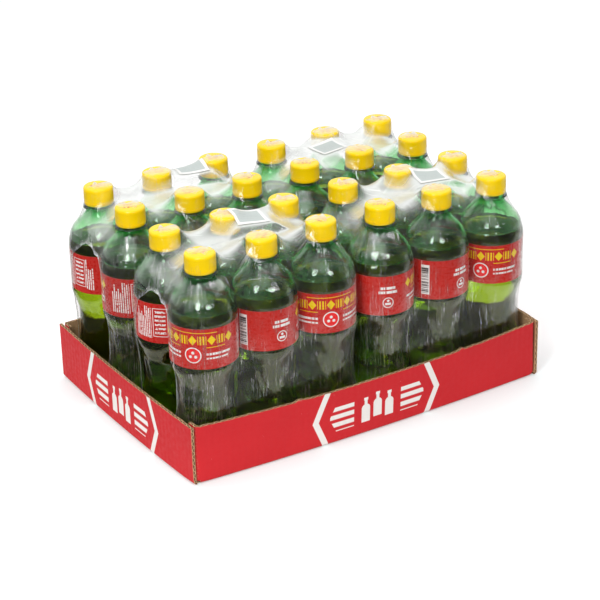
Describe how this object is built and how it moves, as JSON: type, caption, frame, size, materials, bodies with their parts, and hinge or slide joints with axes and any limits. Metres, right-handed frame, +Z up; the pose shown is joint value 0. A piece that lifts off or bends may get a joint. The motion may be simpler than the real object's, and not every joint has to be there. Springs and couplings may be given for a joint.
{
  "type": "case of ginger ale bottles",
  "caption": "Low corrugated tray holding film-wrapped packs of screw-capped green plastic bottles of ginger ale, with bowed sides and a rough top edge.",
  "frame": {"origin": "centre of the tray's underside, on the surface it stands on", "axes": "+X along the long side, -Y out of the long front side, +Z up"},
  "size_m": [0.4206, 0.2978, 0.2232],
  "materials": {
    "board": "red print on corrugated board, raw brown inside and at the cut edges",
    "bottle": "clear emerald green plastic, glossy",
    "drink": "clear pale amber drink",
    "label": "red printed film label with yellow and white blocks",
    "cap": "yellow moulded plastic, satin",
    "film": "clear shrink film, wrinkled, glossy",
    "sticker": "white paper with a plain grey pattern"
  },
  "bodies": {
    "root": {"tray": "board", "bottle_c1r1": "bottle", "bottle_c1r2": "bottle", "bottle_c1r3": "bottle", "bottle_c1r4": "bottle", "bottle_c2r1": "bottle", "bottle_c2r2": "bottle", "bottle_c2r3": "bottle", "bottle_c2r4": "bottle", "bottle_c3r1": "bottle", "bottle_c3r2": "bottle", "bottle_c3r3": "bottle", "bottle_c3r4": "bottle", "bottle_c4r1": "bottle", "bottle_c4r2": "bottle", "bottle_c4r3": "bottle", "bottle_c4r4": "bottle", "bottle_c5r1": "bottle", "bottle_c5r2": "bottle", "bottle_c5r3": "bottle", "bottle_c5r4": "bottle", "bottle_c6r1": "bottle", "bottle_c6r2": "bottle", "bottle_c6r3": "bottle", "bottle_c6r4": "bottle", "cap_c1r1": "cap", "cap_c1r2": "cap", "cap_c1r3": "cap", "cap_c1r4": "cap", "cap_c2r1": "cap", "cap_c2r2": "cap", "cap_c2r3": "cap", "cap_c2r4": "cap", "cap_c3r1": "cap", "cap_c3r2": "cap", "cap_c3r3": "cap", "cap_c3r4": "cap", "cap_c4r1": "cap", "cap_c4r2": "cap", "cap_c4r3": "cap", "cap_c4r4": "cap", "cap_c5r1": "cap", "cap_c5r2": "cap", "cap_c5r3": "cap", "cap_c5r4": "cap", "cap_c6r1": "cap", "cap_c6r2": "cap", "cap_c6r3": "cap", "cap_c6r4": "cap", "film_front_left": "film", "film_front_right": "film", "film_back_left": "film", "film_back_right": "film", "sticker_front_left": "sticker", "sticker_front_right": "sticker", "sticker_back_left": "sticker", "sticker_back_right": "sticker"}
  },
  "joints": []
}
